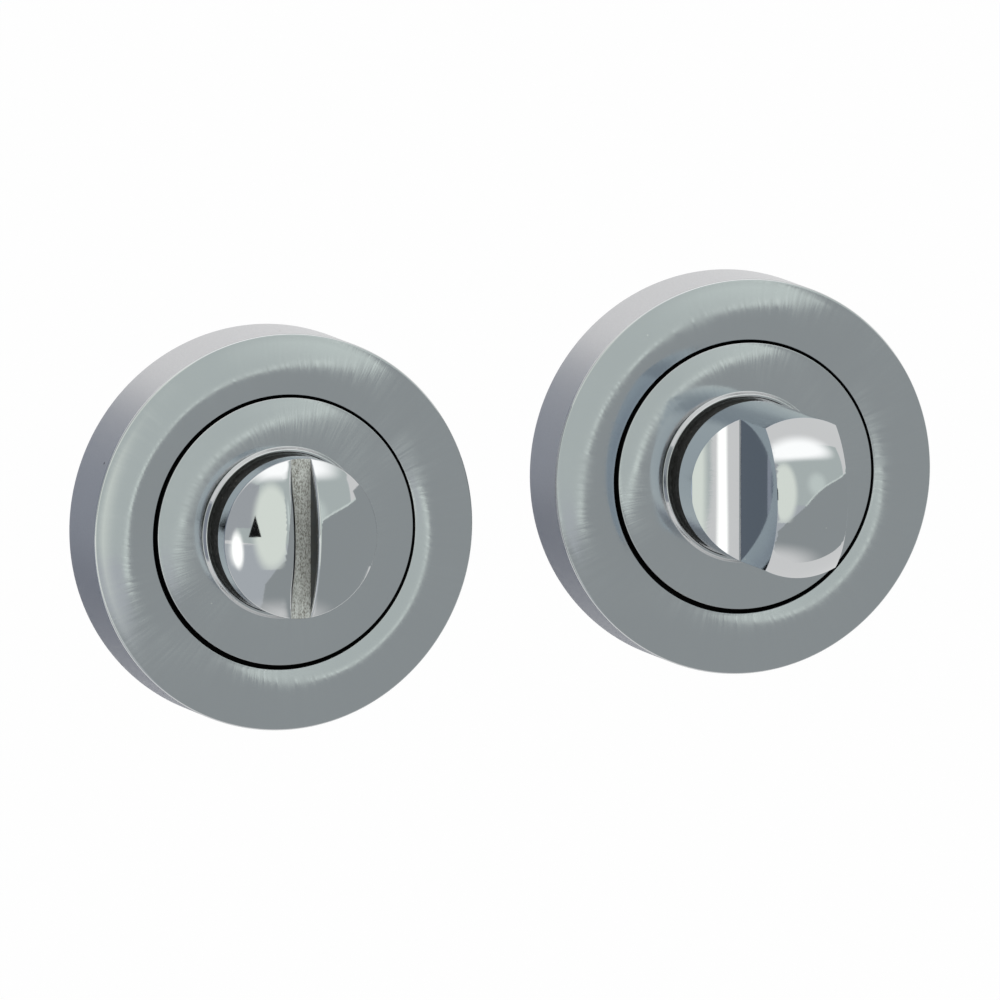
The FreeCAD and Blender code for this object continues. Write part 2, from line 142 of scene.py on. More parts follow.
floor_paint, tree, add, shader = new_paint("floor_paint")
shader.inputs["Base Color"].default_value = (*floor_colour, 1)
shader.inputs["Roughness"].default_value = 0.9
shader.inputs["Specular IOR Level"].default_value = 0
glow = add("ShaderNodeEmission")
glow.inputs["Color"].default_value = (1, 1, 1, 1)
glow.inputs["Strength"].default_value = 1
share = add("ShaderNodeMath", operation="MULTIPLY")
tree.links.new(sees_background(tree, add), share.inputs[0])
share.inputs[1].default_value = floor_white
mixed = add("ShaderNodeMixShader")
tree.links.new(share.outputs[0], mixed.inputs[0])
tree.links.new(shader.outputs[0], mixed.inputs[1])
tree.links.new(glow.outputs[0], mixed.inputs[2])
tree.links.new(mixed.outputs[0], tree.nodes["Material Output"].inputs[0])
floor.data.materials.append(floor_paint)

# The room: white where the camera or the metal sees it, like the inside of a light tent, and a plain
# soft light on everything else.
room_light = 0.55
world = bpy.data.worlds.new("room")
bpy.context.scene.world = world
world.use_nodes = True
tree = world.node_tree
add = adder(tree)
strength = add("ShaderNodeMapRange")
tree.links.new(sees_background(tree, add), strength.inputs["Value"])
strength.inputs["To Min"].default_value = room_light
strength.inputs["To Max"].default_value = 1
backdrop = tree.nodes["Background"]
backdrop.inputs["Color"].default_value = (1, 1, 1, 1)
tree.links.new(strength.outputs[0], backdrop.inputs["Strength"])

# The cards round the lock: plain boards that only the polished metal mirrors. Each has its corners as
# degrees to the right of the door's outward direction and degrees up, as seen from between the
# halves.
heart = Vector((between.x, -ROSE_DEPTH, between.z))
flat_board_gap = 4 * MM


def direction(across, up):
    """The way that lies so many degrees to the right of the door's outward direction, and up."""
    a = math.radians(across)
    e = math.radians(up)
    return Vector((math.sin(a) * math.cos(e), -math.cos(a) * math.cos(e), math.sin(e)))


def seen_at(places):
    """Corners in degrees, from how far right, out of the door and up of the lock's middle they are."""
    corners = []
    for x, out, up in places:
        across = math.degrees(math.atan2(x, out))
        corners.append((across, math.degrees(math.atan2(up, math.hypot(x, out)))))
    return corners


def card(name, colour, corners, facing=None, distance=2.0, height=None, layer=1, fade=None):
    """A board filled between its corners: upright where it is given the way it faces, level where it
    is given a height over the lock, or else lying just above the floor. A fade makes it clear towards
    its rim, from that share of its size."""
    if facing is None:
        over = floor_height + flat_board_gap * layer if height is None else heart.z + height
        centre = Vector((heart.x, heart.y, over))
        normal = Vector((0, 0, 1))
    else:
        normal = direction(facing, 0)
        centre = heart + normal * distance
    bpy.ops.object.select_all(action="DESELECT")
    bpy.ops.mesh.primitive_circle_add(vertices=len(corners), fill_type="NGON")
    board = bpy.context.active_object
    board.name = name
    for spot, (across, up) in zip(board.data.vertices, corners):
        ray = direction(across, up)
        spot.co = heart + ray * ((centre - heart).dot(normal) / ray.dot(normal))
    paint, tree, add, shader = new_paint(name)
    output = tree.nodes["Material Output"]
    glow = add("ShaderNodeEmission")
    glow.inputs["Color"].default_value = (*colour, 1)
    tree.links.new(glow.outputs[0], output.inputs[0])
    if fade is not None:
        spots = [spot.co for spot in board.data.vertices]
        low = Vector(min(spot[i] for spot in spots) for i in range(3))
        high = Vector(max(spot[i] for spot in spots) for i in range(3))
        places = add("ShaderNodeTexCoord")
        centred = add("ShaderNodeVectorMath", operation="SUBTRACT")
        tree.links.new(places.outputs["Object"], centred.inputs[0])
        centred.inputs[1].default_value = (low + high) / 2
        sized = add("ShaderNodeVectorMath", operation="DIVIDE")
        tree.links.new(centred.outputs[0], sized.inputs[0])
        sized.inputs[1].default_value = [max(side / 2, 1 * MM) for side in high - low]
        away = add("ShaderNodeVectorMath", operation="LENGTH")
        tree.links.new(sized.outputs[0], away.inputs[0])
        clear = add("ShaderNodeMapRange", interpolation_type="SMOOTHSTEP")
        tree.links.new(away.outputs["Value"], clear.inputs["Value"])
        clear.inputs["From Min"].default_value = fade
        clear.inputs["From Max"].default_value = 1
        through = add("ShaderNodeBsdfTransparent")
        blended = add("ShaderNodeMixShader")
        tree.links.new(clear.outputs[0], blended.inputs[0])
        tree.links.new(glow.outputs[0], blended.inputs[1])
        tree.links.new(through.outputs[0], blended.inputs[2])
        tree.links.new(blended.outputs[0], output.inputs[0])
    board.data.materials.append(paint)
    for ray_kind in ("camera", "diffuse", "transmission", "volume_scatter", "shadow"):
        setattr(board, f"visible_{ray_kind}", False)


# the table, grey at the right and pale at the left, with a grey board standing behind its edge
grey = (0.42, 0.455, 0.468)
table_edge = [(-34, -64), (-22, -42), (-10, -29), (0, -20), (10, -10), (14, -6)]
board_top = [(9, -12), (14, -6), (20, 0), (27, 5), (34, 8.5), (42, 11), (60, 14), (80, 17)]
card("grey_table", grey,
     table_edge + [(18, -5), (60, -4), (84, -5), (86, -20), (86, -45), (60, -74), (0, -74)], layer=2)
card("pale_table", (0.63, 0.67, 0.71), table_edge + [(-70, -7.5), (-70, -64)])
card("grey_board", grey, board_top + [(104, 12), (104, -20), (15, -20)], facing=55, distance=1.2)
card("pale_foot", (1, 1, 1), [(45, -42), (135, -42), (225, -42), (315, -42)], layer=3, fade=0.3)

# the walls of the light tent, with the glow of the lamps behind them
card("tent_wall", (0.66, 0.73, 0.72), [(-42, -12), (50, -12), (76, 39), (-42, 39)], facing=0)
card("tent_glow", (1.12, 1.19, 1.1), [(-40, -34), (11, -34), (11, 42), (-40, 42)], facing=-14,
     distance=0.56, fade=0.6)
card("tent_patch", (0.86, 0.95, 0.92), [(2, -5), (46, -5), (46, 27), (2, 27)], facing=20,
     distance=1.85, fade=0.3)
card("board_edge", (0.95, 1.04, 1.0),
     board_top + [(80, 18.2), (60, 15.2), (42, 12.3), (33.7, 9.8), (26.3, 6.3), (19, 1), (13, -5),
                  (8, -11)], facing=55, distance=1.21)

# the left side, the dark wall behind the door, and the dark opening that the lens looks through
card("blue_board", (0.55, 0.58, 0.61),
     [(-75, -6), (-42, -6), (-42, 4), (-24, 4), (-24, 39), (-75, 39)], facing=-45, distance=1.5)
card("strip_light", (1.9, 1.9, 1.85), [(-53, -31), (-34, -31), (-34, 5), (-53, 5)], facing=-43,
     distance=0.52, fade=0.5)
card("dark_below", (0.2, 0.22, 0.27), [(150, -8), (232, -8), (232, -58), (150, -58)], facing=190,
     distance=0.45)
card("dark_side", (0.33, 0.36, 0.42), [(-172, -40), (-76, -40), (-76, 20), (-172, 20)], facing=-124,
     distance=0.5)
card("lens_spot", (0.01, 0.01, 0.01), [(-34, -3), (-24, -3), (-29, 14)], facing=-29, distance=0.5)

# a small board between the halves, in millimetres, keeps each knob out of the other's reflections
screen_right = 3
screen_places = [(screen_right, out, up) for out, up in ((2, -17), (2, 15), (18, 15), (18, -17))]
card("screen", grey, seen_at(screen_places), facing=90, distance=screen_right * MM)

# the broad light overhead, in metres
softbox_height = 0.6
softbox_plan = ((-0.7, 0.13), (0.9, 0.13), (0.9, 0.72), (-0.7, 0.72))
softbox_places = [(x, out, softbox_height) for x, out in softbox_plan]
card("top_softbox", (1.75, 1.75, 1.74), seen_at(softbox_places), height=softbox_height, fade=0.35)

# The lamps: broad and soft, from overhead, the left and the front right. The metal doesn't mirror
# them, because the cards stand there for what it mirrors.
for name, across, up, distance, width, power in (
    ("top_lamp", -12, 58, 0.9, 0.7, 3.0),
    ("left_lamp", -75, 20, 1.1, 0.5, 1.5),
    ("right_lamp", 60, 15, 1.2, 0.6, 1.2),
):
    lamp_data = bpy.data.lights.new(name, "AREA")
    lamp_data.size = width
    lamp_data.energy = power
    lamp = bpy.data.objects.new(name, lamp_data)
    lamp.location = heart + direction(across, up) * distance
    lamp.rotation_euler = direction(across, up).to_track_quat("Z", "Y").to_euler()
    lamp.visible_glossy = False
    bpy.context.scene.collection.objects.link(lamp)

# Cover rings: turned from brass bar, with a satin side and a face polished before plating, so that
# it rolls off towards both edges. Each screws on to its mounting plate. The walls of the gap between
# the ring and the inner rose are painted near black, as painted shade for the shadow in the gap.
round_steps = 5
turning_steps = 240
weld = 0.0005 * MM
smooth_angle = math.radians(35)


def rounded(corners):
    """An outline through corners given as radius, height and round, each round drawn as an arc, with
    a point just before and after it to keep what is beside it flat."""
    beside = 0.15
    out = []
    for place, (x, y, bend) in enumerate(corners):
        here = Vector((x, y))
        if not bend:
            out.append(here)
            continue
        before = (Vector(corners[place - 1][:2]) - here).normalized()
        after = (Vector(corners[(place + 1) % len(corners)][:2]) - here).normalized()
        half = before.angle(after) / 2
        start = here + before * bend / math.tan(half)
        end = here + after * bend / math.tan(half)
        centre = here + (before + after).normalized() * bend / math.sin(half)
        out.append(start + before * bend * beside)
        first = math.atan2(start.y - centre.y, start.x - centre.x)
        sweep = math.remainder(math.atan2(end.y - centre.y, end.x - centre.x) - first, math.tau)
        for step in range(round_steps + 1):
            a = first + sweep * step / round_steps
            out.append(centre + bend * Vector((math.cos(a), math.sin(a))))
        out.append(end + after * bend * beside)
    return out


def crowned(top, start, end, fall, power, steps=14):
    """Points across a polished face that falls away from a level circle, more and more. They lie
    closer together where it starts to fall."""
    crowding = 1.3
    out = []
    for step in range(1, steps + 1):
        t = (step / steps) ** crowding
        out.append((start + (end - start) * t, top - fall * t**power))
    return out


def turned(name, axis, section, solid=False):
    """Turns a section, given as radius and height in millimetres, about an axis out of the door. A
    solid one starts and ends on the axis, and any other is a closed ring."""
    bpy.ops.object.select_all(action="DESELECT")
    spots = [Vector((axis.x + spot[0] * MM, -spot[1] * MM, axis.z)) for spot in section]
    bpy.ops.mesh.primitive_plane_add(size=1 * MM)
    piece = bpy.context.active_object
    piece.name = name
    bpy.ops.object.mode_set(mode="EDIT")
    bpy.ops.mesh.merge(type="CENTER")
    bpy.ops.transform.translate(value=spots[0])
    targets = spots[1:] if solid else spots[1:] + spots[:1]
    for here, there in zip(spots, targets):
        bpy.ops.mesh.extrude_region_move(TRANSFORM_OT_translate={"value": there - here})
    bpy.ops.mesh.select_all(action="SELECT")
    bpy.ops.mesh.remove_doubles(threshold=weld)
    bpy.ops.mesh.spin(
        steps=turning_steps, angle=math.tau, use_auto_merge=False, center=axis, axis=(0, 1, 0)
    )
    bpy.ops.mesh.select_all(action="SELECT")
    bpy.ops.mesh.remove_doubles(threshold=weld)
    bpy.ops.mesh.normals_make_consistent(inside=False)
    bpy.ops.object.mode_set(mode="OBJECT")
    bpy.ops.object.shade_smooth_by_angle(angle=smooth_angle)
    return piece


def radius_of(spot, axis):
    """How far a place is from an axis, in millimetres."""
    return math.hypot(spot.x - axis.x, spot.z - axis.z) / MM


def paint_where(piece, paint, test):
    """Gives a further material to the faces whose centre passes the test."""
    piece.data.materials.append(paint)
    for face in piece.data.polygons:
        if test(face.center):
            face.material_index = len(piece.data.materials) - 1


def round_place(tree, add, axis, around, outwards):
    """Coordinates that follow a turned face: so many steps round it and so many per millimetre of
    radius, without a seam."""
    places = add("ShaderNodeTexCoord")
    moved = add("ShaderNodeVectorMath", operation="SUBTRACT")
    tree.links.new(places.outputs["Object"], moved.inputs[0])
    moved.inputs[1].default_value = axis
    level = add("ShaderNodeVectorMath", operation="MULTIPLY")
    tree.links.new(moved.outputs[0], level.inputs[0])
    level.inputs[1].default_value = (1, 0, 1)
    spoke = add("ShaderNodeVectorMath", operation="NORMALIZE")
    tree.links.new(level.outputs[0], spoke.inputs[0])
    wide = add("ShaderNodeVectorMath", operation="SCALE")
    tree.links.new(spoke.outputs[0], wide.inputs[0])
    wide.inputs["Scale"].default_value = around
    reach = add("ShaderNodeVectorMath", operation="LENGTH")
    tree.links.new(level.outputs[0], reach.inputs[0])
    length = add("ShaderNodeMath", operation="MULTIPLY")
    tree.links.new(reach.outputs["Value"], length.inputs[0])
    length.inputs[1].default_value = outwards / MM
    lifted = add("ShaderNodeCombineXYZ")
    tree.links.new(length.outputs[0], lifted.inputs["Y"])
    both = add("ShaderNodeVectorMath", operation="ADD")
    tree.links.new(wide.outputs[0], both.inputs[0])
    tree.links.new(lifted.outputs[0], both.inputs[1])
    return both.outputs[0]


def grain(tree, add, place, scale, detail=2.0):
    """A noise from 0 to 1 at a place, or at the piece's own coordinates where none is given."""
    noise = add("ShaderNodeTexNoise")
    if place is None:
        places = add("ShaderNodeTexCoord")
        place = places.outputs["Object"]
    tree.links.new(place, noise.inputs["Vector"])
    noise.inputs["Scale"].default_value = scale
    noise.inputs["Detail"].default_value = detail
    return noise.outputs["Fac"]


def between_values(tree, add, amount, low, high, start=0.3, end=0.7):
    """Turns an amount into a value between two others."""
    spread = add("ShaderNodeMapRange")
    tree.links.new(amount, spread.inputs["Value"])
    spread.inputs["From Min"].default_value = start
    spread.inputs["From Max"].default_value = end
    spread.inputs["To Min"].default_value = low
    spread.inputs["To Max"].default_value = high
    return spread.outputs[0]


def relief(tree, add, shader, layers):
    """Raises a surface by several amounts, each with its height in millimetres."""
    before = None
    for amount, height in layers:
        bump = add("ShaderNodeBump")
        bump.inputs["Strength"].default_value = 1
        bump.inputs["Distance"].default_value = height * MM
        tree.links.new(amount, bump.inputs["Height"])
        if before is not None:
            tree.links.new(before, bump.inputs["Normal"])
        before = bump.outputs[0]
    tree.links.new(before, shader.inputs["Normal"])


def specks(tree, add, per_metre, size):
    """One in small round specks scattered over a surface, and nought between them."""
    places = add("ShaderNodeTexCoord")
    cells = add("ShaderNodeTexVoronoi")
    tree.links.new(places.outputs["Object"], cells.inputs["Vector"])
    cells.inputs["Scale"].default_value = per_metre
    return between_values(tree, add, cells.outputs["Distance"], 1, 0, size * 0.6, size)


def tinted(tree, add, shader, amount, plain, marked):
    """Sets the colour to one where the amount is nought and to the other where it is one. A mix of
    colours has them in its sockets 6 and 7, and its result in 2."""
    mixed = add("ShaderNodeMix", data_type="RGBA")
    tree.links.new(amount, mixed.inputs["Factor"])
    mixed.inputs[6].default_value = (*plain, 1)
    mixed.inputs[7].default_value = (*marked, 1)
    tree.links.new(mixed.outputs[2], shader.inputs["Base Color"])


polished_plate = (0.55, 0.56, 0.565)


def chrome(name, axis, streak_height=0.0035, wave_height=0.05, smooth=0.05, rough=0.2,
           colour=polished_plate):
    """Polished chrome plate. Its face is a little wavy, with faint radial marks left by polishing
    under the plate, a few dull patches and a speck of dust here and there."""
    paint, tree, add, shader = new_paint(name, metallic=1)
    dust_colour = (0.72, 0.72, 0.69)
    dust = specks(tree, add, per_metre=240, size=0.028)
    tinted(tree, add, shader, dust, colour, dust_colour)
    streaks = grain(tree, add, round_place(tree, add, axis, around=55, outwards=0.12), 1, 3)
    dull = grain(tree, add, None, 90)
    marked = add("ShaderNodeMath", operation="MULTIPLY")
    tree.links.new(between_values(tree, add, dull, 0.3, 1), marked.inputs[0])
    tree.links.new(between_values(tree, add, streaks, 0.3, 1), marked.inputs[1])
    tree.links.new(between_values(tree, add, marked.outputs[0], smooth, rough, 0.1, 1),
                   shader.inputs["Roughness"])
    waves = grain(tree, add, None, 75, 1)
    relief(tree, add, shader, [(waves, wave_height), (streaks, streak_height)])
    return paint


def satin(name, axis):
    """Chrome plate over a fine turned grain that was never polished, with small dark nicks."""
    paint, tree, add, shader = new_paint(name, metallic=1)
    satin_plate = (0.57, 0.57, 0.58)
    nick_colour = (0.06, 0.05, 0.05)
    nicks = specks(tree, add, per_metre=210, size=0.045)
    tinted(tree, add, shader, nicks, satin_plate, nick_colour)
    fine = grain(tree, add, None, 4200, 3)
    tree.links.new(between_values(tree, add, fine, 0.34, 0.5), shader.inputs["Roughness"])
    turning = grain(tree, add, round_place(tree, add, axis, around=3, outwards=0), 1, 1)
    relief(tree, add, shader, [(fine, 0.0035), (turning, 0.01)])
    return paint


# painted shade in the gap: a near-black dull paint for the shadow deep between ring and rose
painted_gap_shade, tree, add, shader = new_paint("painted_gap_shade")
shader.inputs["Base Color"].default_value = (0.006, 0.006, 0.006, 1)
shader.inputs["Roughness"].default_value = 0.7
shader.inputs["Specular IOR Level"].default_value = 0.1
gap_shade_grain = grain(tree, add, None, 3000)
relief(tree, add, shader, [(gap_shade_grain, 0.004)])

rose_radius = (turn_high.x - turn_low.x) / 2 / MM
ring_depth = ROSE_DEPTH / MM
ring_face = 8
ring_wall = 2.4
window_radius = rose_radius - ring_face
ring_bore = rose_radius - ring_wall
ring_lip = 2.45
lip_back = ring_depth - ring_lip
crown_radius = 20.8
outer_fall = 0.43
inner_fall = 0.19
crown_power = 1.6
edge_round = 0.28
window_round = 0.07
back_round = 0.1
side_round = 0.2


def cover_ring(name, axis, node):
    """A ring with its polished face, its satin side, and the wall of its window painted near black as
    painted shade.
    """
    outside = rounded(
        [(ring_bore, 0, back_round), (rose_radius, 0, side_round),
         (rose_radius, ring_depth - outer_fall, edge_round), (crown_radius, ring_depth, 0)]
    )[:-1]
    face_out = crowned(ring_depth, crown_radius, rose_radius - edge_round, outer_fall, crown_power)
    face_in = crowned(
        ring_depth, crown_radius, window_radius + window_round, inner_fall, crown_power, steps=10)
    inside = rounded(
        [(crown_radius, ring_depth, 0), (window_radius, ring_depth - inner_fall, window_round),
         (window_radius, lip_back, back_round), (ring_bore, lip_back, 0)]
    )[1:]
    section = outside + face_out[-2::-1] + [(crown_radius, ring_depth)] + face_in[:-1] + inside
    piece = turned(name, axis, section)
    piece.data.materials.append(chrome(f"{name}_chrome", axis))
    side_start = 0.25
    side_end = ring_depth - outer_fall - edge_round
    side_margin = 0.05
    wall_margin = 0.03
    paint_where(piece, satin(f"{name}_satin", axis), lambda spot: (
        radius_of(spot, axis) > rose_radius - side_margin and side_start < -spot.y / MM < side_end))
    # the window's wall is painted near black: painted shade in the gap
    paint_where(piece, painted_gap_shade, lambda spot: (
        radius_of(spot, axis) < window_radius + wall_margin
        and -spot.y / MM < ring_depth - inner_fall - window_round))
    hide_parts(node)
    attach(piece, "root")


cover_ring("inside_cover_ring", TURN, "turn_cover_ring")
cover_ring("outside_cover_ring", RELEASE, "release_cover_ring")

# Inner roses: polished brass discs in the rings' windows, chrome plated. A low lip round the bore
# hides the foot of the bush, a shoulder lies under the ring, and two pegs on the back enter the plate.
disc_gap = 0.48
disc_radius = window_radius - disc_gap
shoulder_width = 2.4
shoulder_radius = disc_radius + shoulder_width
shoulder_clearance = 0.05
shoulder_top = lip_back - shoulder_clearance
inner_back = 4
lip_radius = 10.9
lip_rise = 0.45
lip_foot = lip_radius + 0.35
lip_foot_round = 0.1
lip_round = 0.16
lip_inner_round = 0.12
seat_radius = 10.5
sleeve_radius = 7.53
disc_crown_start = 12
disc_crown_power = 2
disc_fall = 0.29
disc_round = 0.1
peg_radius = 1.5
peg_length = 2.6
peg_circle = 29
peg_reach = peg_circle / 2 * math.sqrt(0.5)
disc_lean = Vector((0.2, 0, 0.07)) * MM


def inner_rose(name, axis, node):
    """A disc with its lip, its shoulder and its pegs, and the wall of the gap round it painted near
    black as painted shade.
    """
    front = crowned(ring_depth, disc_crown_start, disc_radius - disc_round, disc_fall, disc_crown_power)
    edge = ring_depth - disc_fall
    rim = ring_depth + lip_rise
    section = (
        rounded([(sleeve_radius, inner_back, back_round), (shoulder_radius, inner_back, back_round),
                 (shoulder_radius, shoulder_top, back_round), (disc_radius, shoulder_top, 0),
                 (disc_radius, edge, disc_round), (disc_crown_start, ring_depth, 0)])[:-1]
        + front[-2::-1]
        + rounded([(disc_crown_start, ring_depth, 0), (lip_foot, ring_depth, lip_foot_round),
                   (lip_radius, rim, lip_round), (seat_radius, rim, lip_inner_round),
                   (seat_radius, ring_depth, 0), (sleeve_radius, ring_depth, 0)])
    )
    piece = turned(name, axis, section)
    bpy.ops.object.select_all(action="DESELECT")
    for side in (1, -1):
        spot = axis + Vector((side * peg_reach, -(inner_back - peg_length / 2), side * peg_reach)) * MM
        bpy.ops.mesh.primitive_cylinder_add(
            vertices=48, radius=peg_radius * MM, depth=peg_length * MM, location=spot,
            rotation=(math.pi / 2, 0, 0)
        )
        piece.select_set(True)
        bpy.context.view_layer.objects.active = piece
        bpy.ops.object.join()
    # the edge in the window was turned a little off centre, to the right and up
    lean_margin = 0.3
    for spot in piece.data.vertices:
        if radius_of(spot.co, axis) > lip_foot + 0.1 and -spot.co.y / MM > shoulder_top - 0.001:
            spot.co += disc_lean
    bpy.ops.object.shade_smooth_by_angle(angle=smooth_angle)
    piece.data.materials.append(chrome(f"{name}_chrome", axis))
    # the disc's edge wall and the shoulder's top are painted near black: painted shade in the gap
    paint_where(piece, painted_gap_shade, lambda spot: (
        radius_of(spot, axis) > disc_radius - lean_margin
        and shoulder_top - shoulder_clearance < -spot.y / MM < edge - disc_round))
    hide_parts(node)
    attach(piece, "root")


inner_rose("inside_inner_rose", TURN, "turn_inner_rose")
inner_rose("outside_inner_rose", RELEASE, "release_inner_rose")

# Thumb turn: a turned brass knob and stem in one piece, with a hollow milled out of each side down to
# a flat blade. Its edges are softened by hand polishing, and it is chrome plated. Its turned sides and
# the flat sides of its blade are painted a darker, bluer plate colour than its dome and hollows: a
# painted reflection of dark blue surroundings.
knob_radius = 10.5
turned_sag = 0.12
blade_half = 4.85
crease_height = 22.5
grip_edge_round = 0.2 * MM
# darker, bluer plate colours: painted reflection of dark blue surroundings
painted_blue_reflection = (0.36, 0.405, 0.49)
painted_deep_blue_reflection = (0.28, 0.33, 0.42)


def softened(name, node, width):
    """A copy of a piece with its doubles merged and its sharp edges rounded."""
    merge_gap = 0.001 * MM
    flat_angle = math.radians(0.05)
    sharp_angle = math.radians(30)
    shading_angle = math.radians(50)
    bpy.ops.object.select_all(action="DESELECT")
    piece = nodes[node].copy()
    piece.data = nodes[node].data.copy()
    piece.name = name
    piece.parent = None
    for key in list(piece.keys()):
        del piece[key]
    bpy.context.scene.collection.objects.link(piece)
    piece.select_set(True)
    bpy.context.view_layer.objects.active = piece
    piece.data.materials.clear()
    bpy.ops.object.mode_set(mode="EDIT")
    bpy.ops.mesh.select_all(action="SELECT")
    bpy.ops.mesh.remove_doubles(threshold=merge_gap)
    bpy.ops.mesh.dissolve_limited(angle_limit=flat_angle)
    bpy.ops.object.mode_set(mode="OBJECT")
    bevel = piece.modifiers.new("edge_rounds", "BEVEL")
    bevel.width = width
    bevel.segments = 4
    bevel.limit_method = "ANGLE"
    bevel.angle_limit = sharp_angle
    bpy.ops.object.modifier_apply(modifier=bevel.name)
    bpy.ops.object.shade_smooth_by_angle(angle=shading_angle)
    weighted = piece.modifiers.new("even_shading", "WEIGHTED_NORMAL")
    weighted.keep_sharp = True
    bpy.ops.object.modifier_apply(modifier=weighted.name)
    return piece


def knob_chrome(name, axis, smooth, rough, colour=polished_plate):
    """Chrome plate on a knob, which is polished finer than a rose."""
    return chrome(name, axis, 0.0006, 0.03, smooth, rough, colour)


grip = softened("grip", "thumb_turn", grip_edge_round)
grip.data.materials.append(knob_chrome("grip_chrome", TURN, 0.02, 0.07))
# the knob's turned side is painted darker blue: painted reflection
grip_side = knob_chrome("grip_side_chrome", TURN, 0.04, 0.1, painted_blue_reflection)
paint_where(grip, grip_side, lambda spot: radius_of(spot, TURN) > knob_radius - turned_sag)
# the blade's flat sides are painted a deeper blue: painted reflection
blade_side = knob_chrome("blade_side_chrome", TURN, 0.04, 0.1, painted_deep_blue_reflection)
paint_where(grip, blade_side, lambda spot: (
    abs(abs(spot.x - TURN.x) / MM - blade_half) < 0.01 and -spot.y / MM > crease_height))
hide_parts("thumb_turn")
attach(grip, "thumb_turn")

# Release: a turned brass head and stem with a domed end and a milled slot for a coin. The slot's left
# lip is worn round by polishing and its right one is crisp. Its floor is bare, and the stem is
# hollowed to a square socket for the spindle.
stem_radius = 5
stem_round = 0.3
groove_radius = 4.8
groove_setback = 0.7
groove_width = 1.1
knob_back_round = 0.35
dome_foot_round = 0.25
bush_low, bush_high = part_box("release_bush")
head_low, head_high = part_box("release_turn")
knob_back = -bush_low.y / MM + 0.05
stem_end = -head_high.y / MM
# the slot has cut away the dome's tip, so that it ends a little short of its full height
head_top = -head_low.y / MM + 0.05
slot_depth = 3.3
slot_floor = head_top - slot_depth
slot_half = 1.35
groove_foot = stem_end + groove_setback
groove_top = groove_foot + groove_width
left_lip_round = 1.5
right_lip_round = 0.45
lip_steps = 6
dome_steps = 24
socket_half = 2.6
socket_top = slot_floor - 2
tiny = 0.002
slot_weld = 0.004 * MM


def lip_row(bend, step):
    """How far a row of points lies from the slot's edge, and how far it is lowered."""
    a = math.radians(90) * step / lip_steps
    return bend * (1 - math.sin(a)), bend * (1 - math.cos(a))


def select_spots(piece, test):
    """Selects the points that pass the test, given how far right of the axis and how high they are."""
    bpy.ops.object.mode_set(mode="EDIT")
    bpy.ops.mesh.select_mode(type="VERT")
    bpy.ops.mesh.select_all(action="DESELECT")
    bpy.ops.object.mode_set(mode="OBJECT")
    for spot in piece.data.vertices:
        spot.select = test((spot.co.x - RELEASE.x) / MM, -spot.co.y / MM)
    bpy.ops.object.mode_set(mode="EDIT")


dome_height = head_top - slot_floor
dome_radius = (knob_radius**2 + dome_height**2) / (2 * dome_height)
dome_half = math.asin(knob_radius / dome_radius)
dome = []
for step in range(1, dome_steps):
    a = dome_half * (1 - step / dome_steps)
    dome.append((dome_radius * math.sin(a), head_top - dome_radius * (1 - math.cos(a))))
blank = (
    [(0, stem_end)]
    + rounded([(0, stem_end, 0), (stem_radius, stem_end, stem_round),
               (stem_radius, groove_foot, 0)])[1:-1]
    + [(stem_radius, groove_foot), (groove_radius, groove_foot), (groove_radius, groove_top),
       (stem_radius, groove_top), (stem_radius, knob_back)]
    + rounded([(stem_radius, knob_back, 0), (knob_radius, knob_back, knob_back_round),
               (knob_radius, slot_floor, dome_foot_round), dome[1] + (0,)])[1:-1]
    + dome[1:]
    + [(0, head_top)]
)
release_head = turned("release_head", RELEASE, blank, solid=True)


def dome_rise(across, up):
    """How high the dome stands over the slot's floor at a place."""
    reach = min(across**2 + up**2, knob_radius**2)
    return math.sqrt(dome_radius**2 - reach) - dome_radius + dome_height


def roll_lip(side, bend):
    """Draws the cut edge of the dome towards the slot in steps, lower each time, as a worn lip. It
    dies out where the dome is lower than so many rounds."""
    dying_out = 1.4
    before = slot_half + bend
    for step in range(1, lip_steps + 1):
        reach, drop = lip_row(bend, step)
        after = slot_half + reach
        bpy.ops.mesh.extrude_region_move(TRANSFORM_OT_translate={"value": (0, 0, 0)})
        bpy.ops.object.mode_set(mode="OBJECT")
        gain = math.sqrt(knob_radius**2 - after**2) / math.sqrt(knob_radius**2 - before**2)
        earlier = lip_row(bend, step - 1)[1]
        for spot in release_head.data.vertices:
            if not spot.select:
                continue
            up = (spot.co.z - RELEASE.z) / MM
            rise = -spot.co.y / MM - slot_floor
            plain = dome_rise(before, up)
            taper = min(1, plain / (dying_out * bend))
            if rise > tiny:
                rise += dome_rise(after, up * gain) - plain - (drop - earlier) * taper
            spot.co = RELEASE + Vector((side * after, -slot_floor - rise, up * gain)) * MM
        bpy.ops.object.mode_set(mode="EDIT")
        before = after


left_reach = slot_half + left_lip_round
right_reach = slot_half + right_lip_round
rows = []
for side, bend in ((-1, left_lip_round), (1, right_lip_round)):
    for step in range(lip_steps + 1):
        rows.append(side * (slot_half + lip_row(bend, step)[0]))
select_spots(release_head, lambda across, out: True)
bpy.ops.mesh.bisect(plane_co=(0, -slot_floor * MM, 0), plane_no=(0, 1, 0), threshold=weld)
for row in rows:
    select_spots(release_head, lambda across, out: out > slot_floor - tiny)
    bpy.ops.mesh.bisect(
        plane_co=(RELEASE.x + row * MM, 0, 0), plane_no=(1, 0, 0), threshold=weld
    )
select_spots(release_head, lambda across, out: (
    out > slot_floor - tiny and -left_reach - tiny < across < right_reach + tiny))
bpy.ops.mesh.delete(type="FACE")
select_spots(release_head, lambda across, out: (
    abs(out - slot_floor) < tiny and -left_reach < across < right_reach and abs(across) > slot_half
    and min(abs(across - row) for row in rows) > tiny))
bpy.ops.mesh.dissolve_verts()
